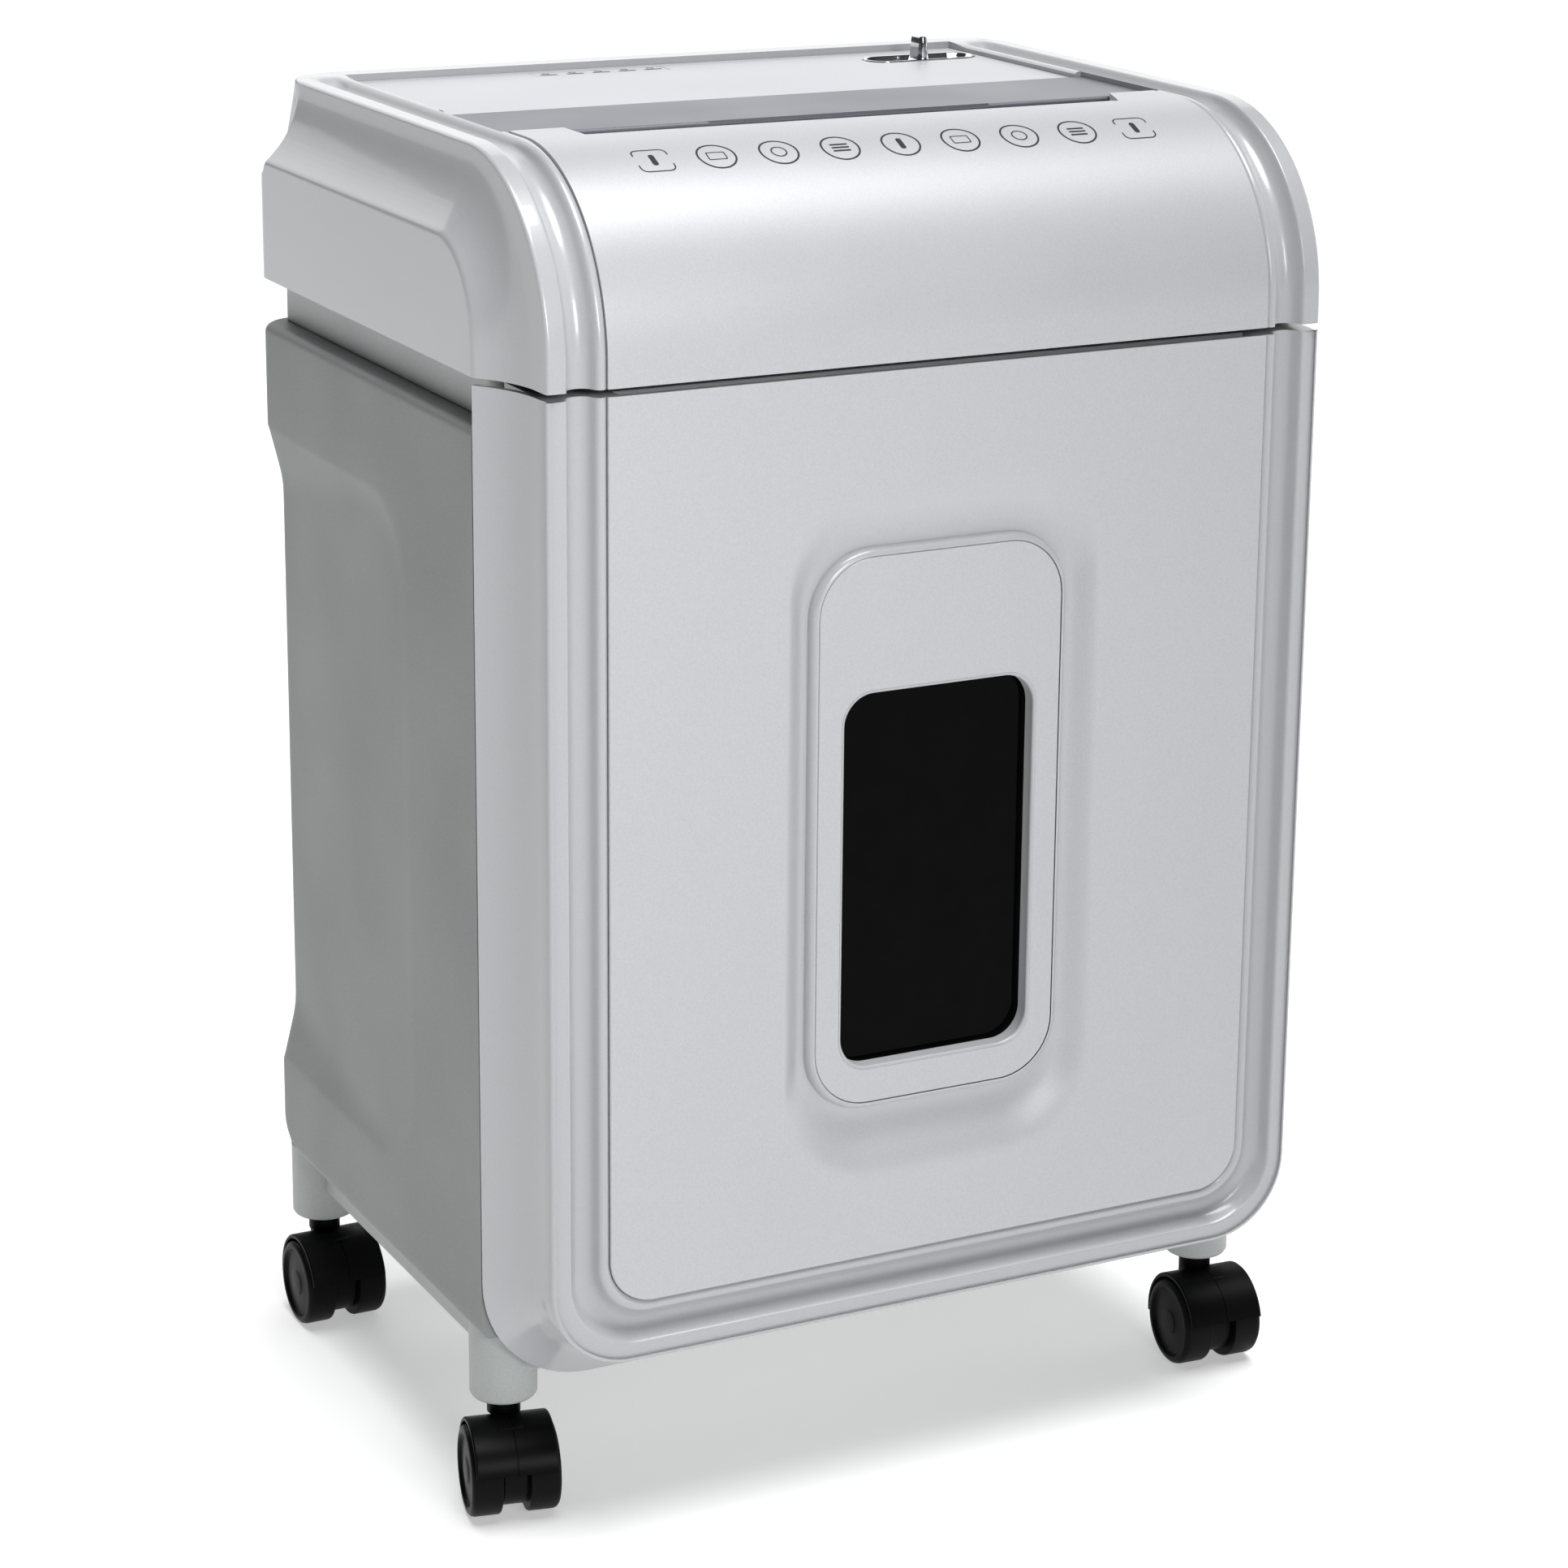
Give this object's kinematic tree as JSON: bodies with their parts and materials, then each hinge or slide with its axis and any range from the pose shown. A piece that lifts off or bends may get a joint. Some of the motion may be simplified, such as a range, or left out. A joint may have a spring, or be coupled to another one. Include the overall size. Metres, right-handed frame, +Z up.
{
  "type": "paper shredder",
  "caption": "Office cross-cut paper shredder: a cutter head over a cabinet with a pull-out windowed bin drawer, standing on twin-wheel castors.",
  "frame": {"origin": "on the floor, under the middle of the body", "axes": "+X to the right seen from the front, the front faces -Y, +Z up"},
  "size_m": [0.3798, 0.2816, 0.5645],
  "materials": {
    "pearl_gloss": "glossy pearl white ABS",
    "pearl_satin": "satin metallic pearl paint",
    "indicator": "translucent white window",
    "grey_body": "satin silver grey",
    "trim_grey": "satin metallic grey paint",
    "bright_chrome": "polished plating",
    "black_plastic": "fine-grained moulding",
    "castor_black": "nylon",
    "smoke_lens": "clear smoked acrylic",
    "cutter_steel": "hardened and ground",
    "plated_steel": "zinc plated",
    "sintered_bronze": "oil-filled sintered",
    "gear_nylon": "natural moulded",
    "circuit_board": "solder mask"
  },
  "bodies": {
    "cabinet": {"head_cover": "pearl_gloss", "head_front_panel": "pearl_satin", "top_deck": "pearl_satin", "indicator_window": "indicator", "cabinet_shell": "grey_body", "base_tray": "grey_body", "head_tray": "grey_body", "throat_trim": "trim_grey", "switch_dish": "bright_chrome", "gear_cover": "black_plastic", "switch_block": "black_plastic", "cord_inlet": "black_plastic", "paper_sensor": "black_plastic", "safety_switch": "black_plastic", "left_end_plate": "plated_steel", "right_end_plate": "plated_steel", "tie_rod_upper_front": "plated_steel", "tie_rod_lower_front": "plated_steel", "tie_rod_lower_rear": "plated_steel", "comb_front": "plated_steel", "comb_rear": "plated_steel", "idler_pin": "plated_steel", "motor_can": "plated_steel", "left_rail": "plated_steel", "right_rail": "plated_steel", "castor_stem_fl": "plated_steel", "castor_stem_fr": "plated_steel", "castor_stem_rl": "plated_steel", "castor_stem_rr": "plated_steel", "bush_front_left": "sintered_bronze", "bush_front_right": "sintered_bronze", "bush_rear_left": "sintered_bronze", "bush_rear_right": "sintered_bronze", "control_board": "circuit_board"},
    "drawer": {"drawer_front": "pearl_gloss", "drawer_panel": "pearl_satin", "window_ring": "pearl_gloss", "window_lens": "smoke_lens", "bin": "black_plastic"},
    "switch": {"switch_knob": "bright_chrome"},
    "rear_cutter": {"rear_cutter_shaft": "cutter_steel", "rear_cutter_gear": "cutter_steel", "drive_gear": "gear_nylon"},
    "front_cutter": {"front_cutter_shaft": "cutter_steel", "front_cutter_gear": "cutter_steel"},
    "idler": {"idler_gear": "gear_nylon"},
    "rotor": {"motor_rotor": "plated_steel"},
    "plunger": {"interlock_plunger": "gear_nylon"},
    "castor_fl": {"castor_hood_fl": "black_plastic"},
    "wheel_fl_left": {"castor_wheel_fl_left": "castor_black"},
    "wheel_fl_right": {"castor_wheel_fl_right": "castor_black"},
    "castor_fr": {"castor_hood_fr": "black_plastic"},
    "wheel_fr_left": {"castor_wheel_fr_left": "castor_black"},
    "wheel_fr_right": {"castor_wheel_fr_right": "castor_black"},
    "castor_rl": {"castor_hood_rl": "black_plastic"},
    "wheel_rl_left": {"castor_wheel_rl_left": "castor_black"},
    "wheel_rl_right": {"castor_wheel_rl_right": "castor_black"},
    "castor_rr": {"castor_hood_rr": "black_plastic"},
    "wheel_rr_left": {"castor_wheel_rr_left": "castor_black"},
    "wheel_rr_right": {"castor_wheel_rr_right": "castor_black"}
  },
  "joints": [
    {"name": "drawer_slide", "type": "slide", "parent": "cabinet", "child": "drawer", "axis": [0, -1, 0], "range_m": [0, 0.24]},
    {"name": "switch_slide", "type": "slide", "parent": "cabinet", "child": "switch", "axis": [1, 0, 0], "range_m": [-0.012, 0.012]},
    {"name": "rear_cutter_spin", "type": "hinge", "parent": "cabinet", "child": "rear_cutter", "pos_m": [0, -0.0258, 0.4869], "axis": [1, 0, 0], "continuous": true},
    {"name": "front_cutter_spin", "type": "hinge", "parent": "cabinet", "child": "front_cutter", "pos_m": [0, -0.0658, 0.4869], "axis": [1, 0, 0], "continuous": true},
    {"name": "idler_spin", "type": "hinge", "parent": "cabinet", "child": "idler", "pos_m": [0.14, 0.0132, 0.4869], "axis": [1, 0, 0], "continuous": true},
    {"name": "rotor_spin", "type": "hinge", "parent": "cabinet", "child": "rotor", "pos_m": [0.08, 0.04757, 0.4869], "axis": [1, 0, 0], "continuous": true},
    {"name": "interlock_press", "type": "slide", "parent": "cabinet", "child": "plunger", "axis": [0, -1, 0], "range_m": [0, 0.003]},
    {"name": "swivel_fl", "type": "hinge", "parent": "cabinet", "child": "castor_fl", "pos_m": [-0.1661, -0.0805, 0.04], "axis": [0, 0, 1], "continuous": true},
    {"name": "roll_fl_left", "type": "hinge", "parent": "castor_fl", "child": "wheel_fl_left", "pos_m": [-0.18013, -0.08876, 0.01877], "axis": [0.9781, -0.2079, 0], "continuous": true},
    {"name": "roll_fl_right", "type": "hinge", "parent": "castor_fl", "child": "wheel_fl_right", "pos_m": [-0.15665, -0.09376, 0.01877], "axis": [0.9781, -0.2079, 0], "continuous": true},
    {"name": "swivel_fr", "type": "hinge", "parent": "cabinet", "child": "castor_fr", "pos_m": [0.1661, -0.0805, 0.04], "axis": [0, 0, 1], "continuous": true},
    {"name": "roll_fr_left", "type": "hinge", "parent": "castor_fr", "child": "wheel_fr_left", "pos_m": [0.15336, -0.09064, 0.01877], "axis": [0.9976, -0.0698, 0], "continuous": true},
    {"name": "roll_fr_right", "type": "hinge", "parent": "castor_fr", "child": "wheel_fr_right", "pos_m": [0.1773, -0.09231, 0.01877], "axis": [0.9976, -0.0698, 0], "continuous": true},
    {"name": "swivel_rl", "type": "hinge", "parent": "cabinet", "child": "castor_rl", "pos_m": [-0.1661, 0.1263, 0.04], "axis": [0, 0, 1], "continuous": true},
    {"name": "roll_rl_left", "type": "hinge", "parent": "castor_rl", "child": "wheel_rl_left", "pos_m": [-0.1781, 0.1153, 0.01877], "axis": [1, 0, 0], "continuous": true},
    {"name": "roll_rl_right", "type": "hinge", "parent": "castor_rl", "child": "wheel_rl_right", "pos_m": [-0.1541, 0.1153, 0.01877], "axis": [1, 0, 0], "continuous": true},
    {"name": "swivel_rr", "type": "hinge", "parent": "cabinet", "child": "castor_rr", "pos_m": [0.1661, 0.1263, 0.04], "axis": [0, 0, 1], "continuous": true},
    {"name": "roll_rr_left", "type": "hinge", "parent": "castor_rr", "child": "wheel_rr_left", "pos_m": [0.15665, 0.11305, 0.01877], "axis": [0.9781, 0.2079, 0], "continuous": true},
    {"name": "roll_rr_right", "type": "hinge", "parent": "castor_rr", "child": "wheel_rr_right", "pos_m": [0.18013, 0.11804, 0.01877], "axis": [0.9781, 0.2079, 0], "continuous": true}
  ],
  "couplings": [
    {"joint": "front_cutter_spin", "follows": "rear_cutter_spin", "ratio": -1},
    {"joint": "idler_spin", "follows": "rear_cutter_spin", "ratio": -3.3333},
    {"joint": "rotor_spin", "follows": "rear_cutter_spin", "ratio": 13.333},
    {"joint": "interlock_press", "follows": "drawer_slide", "ratio": 0.0125}
  ]
}
